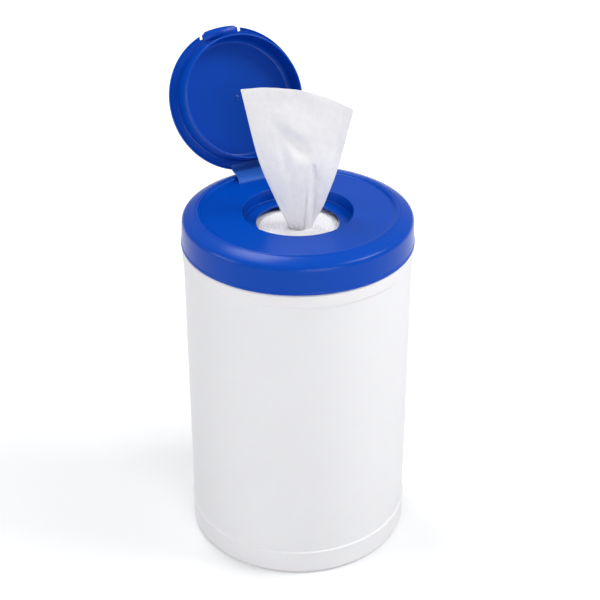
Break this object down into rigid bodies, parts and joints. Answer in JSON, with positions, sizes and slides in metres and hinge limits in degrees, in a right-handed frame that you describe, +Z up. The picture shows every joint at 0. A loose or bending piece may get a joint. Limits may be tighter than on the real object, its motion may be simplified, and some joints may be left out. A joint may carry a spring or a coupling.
{
  "type": "wipes canister",
  "caption": "Round plastic pot of cleaning wipes with a press-on lid, its flip cap open and a wipe drawn up through the round opening.",
  "frame": {"origin": "middle of the flat base, on the pot's axis", "axes": "+Z up along the pot's axis; the flip cap's hinge is on the +Y side and its thumb tab, when shut, on the -Y side; +X to the right seen from -Y"},
  "size_m": [0.116, 0.1456, 0.2498],
  "materials": {
    "white_polyethylene": "satin white blow-moulded polyethylene",
    "blue_polypropylene": "smooth blue injection-moulded polypropylene",
    "nonwoven": "soft white moist nonwoven"
  },
  "bodies": {
    "canister": {"canister_body": "white_polyethylene", "wipes_roll": "nonwoven", "drawn_wipe": "nonwoven"},
    "lid": {"lid": "blue_polypropylene"},
    "cap": {"flip_cap": "blue_polypropylene"}
  },
  "joints": [
    {"name": "lid_lift", "type": "slide", "parent": "canister", "child": "lid", "axis": [0, 0, 1], "range_m": [0, 0.02]},
    {"name": "cap_hinge", "type": "hinge", "parent": "lid", "child": "cap", "pos_m": [0, 0.0418, 0.1834], "axis": [1, 0, 0], "range_deg": [0, 116], "deforming": ["drawn_wipe"]}
  ]
}
